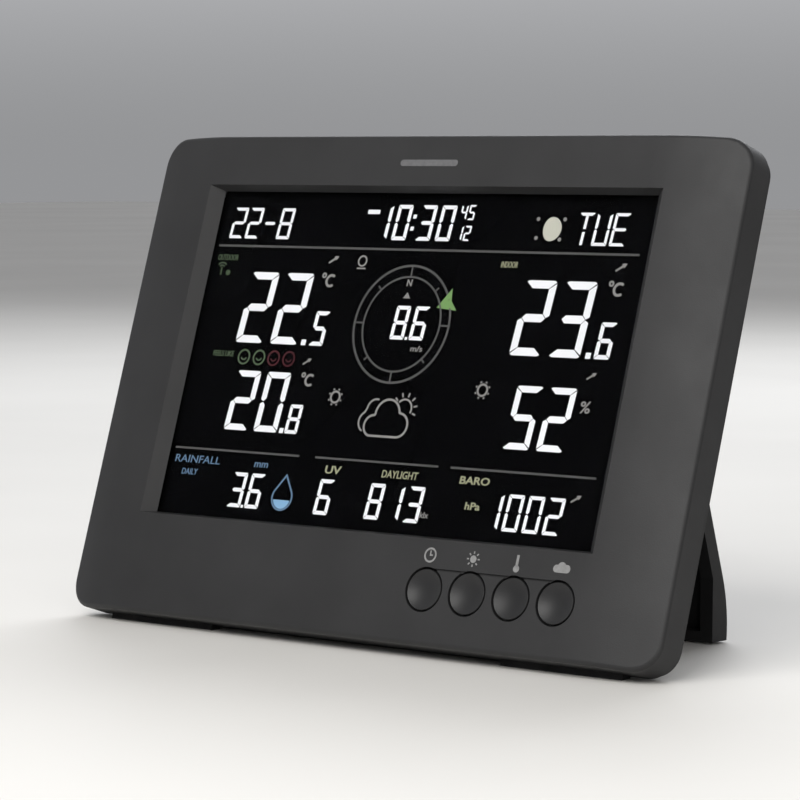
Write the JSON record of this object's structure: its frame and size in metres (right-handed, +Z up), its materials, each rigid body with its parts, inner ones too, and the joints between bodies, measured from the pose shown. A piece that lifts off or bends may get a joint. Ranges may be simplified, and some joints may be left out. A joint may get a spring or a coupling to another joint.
{
  "type": "home weather station",
  "caption": "Desk weather console: flat dark case with a wide sunk display, round push buttons below it and a broad fold-out stand behind.",
  "frame": {"origin": "bottom centre of the whole object as it stands on a table with the stand open", "axes": "+Z up, -Y the way the display faces, +X to the viewer's right"},
  "size_m": [0.202, 0.078, 0.135],
  "materials": {
    "shell": "fine satin grain, dark grey",
    "front_caps": "satin",
    "rear_caps": "satin",
    "window": "clear gloss",
    "display": "black display glass",
    "holder": "moulded",
    "acrylic": "polished acrylic",
    "white_film": "white film",
    "circuit_board": "green solder mask",
    "led": "clear white",
    "flex": "amber polyimide",
    "black_plastic": "moulded",
    "can_steel": "tinned",
    "antenna_wire": "drawn wire",
    "screw_steel": "zinc plated",
    "rubber": "matt"
  },
  "bodies": {
    "console": {"antenna": "antenna_wire", "backlight_board": "circuit_board", "backlight_leds": "led", "board_screws": "screw_steel", "button_board": "circuit_board", "buzzer": "black_plastic", "cell_contact_bottom": "can_steel", "cell_contact_side": "can_steel", "climate_sensor": "circuit_board", "coin_cell": "can_steel", "dc_jack": "black_plastic", "dc_jack_pin": "can_steel", "display_flex": "flex", "display_window": "window", "foot_left": "rubber", "foot_right": "rubber", "frame_screws": "screw_steel", "front_housing": "shell", "hinge_pin_left": "screw_steel", "hinge_pin_right": "screw_steel", "housing_screws": "screw_steel", "lcd_frame": "holder", "lcd_panel": "display", "light_guide": "acrylic", "main_board": "circuit_board", "main_chip": "black_plastic", "radio_module": "can_steel", "rear_housing": "shell", "rear_switch_1": "black_plastic", "rear_switch_2": "black_plastic", "reflector_sheet": "white_film", "slider_body": "holder", "tact_switch_1": "black_plastic", "tact_switch_2": "black_plastic", "tact_switch_3": "black_plastic", "tact_switch_4": "black_plastic"},
    "stand": {"stand": "shell", "stand_pads": "rubber"},
    "battery_door": {"battery_door": "shell"},
    "brightness_slider": {"brightness_slider": "rear_caps"},
    "front_button_1": {"front_button_1": "front_caps"},
    "front_button_2": {"front_button_2": "front_caps"},
    "front_button_3": {"front_button_3": "front_caps"},
    "front_button_4": {"front_button_4": "front_caps"},
    "rear_button_1": {"rear_button_1": "rear_caps"},
    "rear_button_2": {"rear_button_2": "rear_caps"}
  },
  "joints": [
    {"name": "stand_hinge", "type": "hinge", "parent": "console", "child": "stand", "pos_m": [0, 0.01844, 0.06685], "axis": [1, 0, 0], "range_deg": [-36.3, 0]},
    {"name": "front_button_1_press", "type": "slide", "parent": "console", "child": "front_button_1", "axis": [0, 0.9505, -0.3107], "range_m": [0, 0.0008], "stiffness_N_per_m": 1200, "springref_m": -0.0004},
    {"name": "front_button_2_press", "type": "slide", "parent": "console", "child": "front_button_2", "axis": [0, 0.9505, -0.3107], "range_m": [0, 0.0008], "stiffness_N_per_m": 1200, "springref_m": -0.0004},
    {"name": "front_button_3_press", "type": "slide", "parent": "console", "child": "front_button_3", "axis": [0, 0.9505, -0.3107], "range_m": [0, 0.0008], "stiffness_N_per_m": 1200, "springref_m": -0.0004},
    {"name": "front_button_4_press", "type": "slide", "parent": "console", "child": "front_button_4", "axis": [0, 0.9505, -0.3107], "range_m": [0, 0.0008], "stiffness_N_per_m": 1200, "springref_m": -0.0004},
    {"name": "rear_button_1_press", "type": "slide", "parent": "console", "child": "rear_button_1", "axis": [0, -0.9505, 0.3107], "range_m": [0, 0.0008], "stiffness_N_per_m": 1200, "springref_m": -0.0004},
    {"name": "rear_button_2_press", "type": "slide", "parent": "console", "child": "rear_button_2", "axis": [0, -0.9505, 0.3107], "range_m": [0, 0.0008], "stiffness_N_per_m": 1200, "springref_m": -0.0004},
    {"name": "brightness_slide", "type": "slide", "parent": "console", "child": "brightness_slider", "axis": [1, 0, 0], "range_m": [-0.003, 0.003]},
    {"name": "battery_door_lift", "type": "slide", "parent": "console", "child": "battery_door", "axis": [0, 0.9505, -0.3107], "range_m": [0, 0.03]}
  ]
}
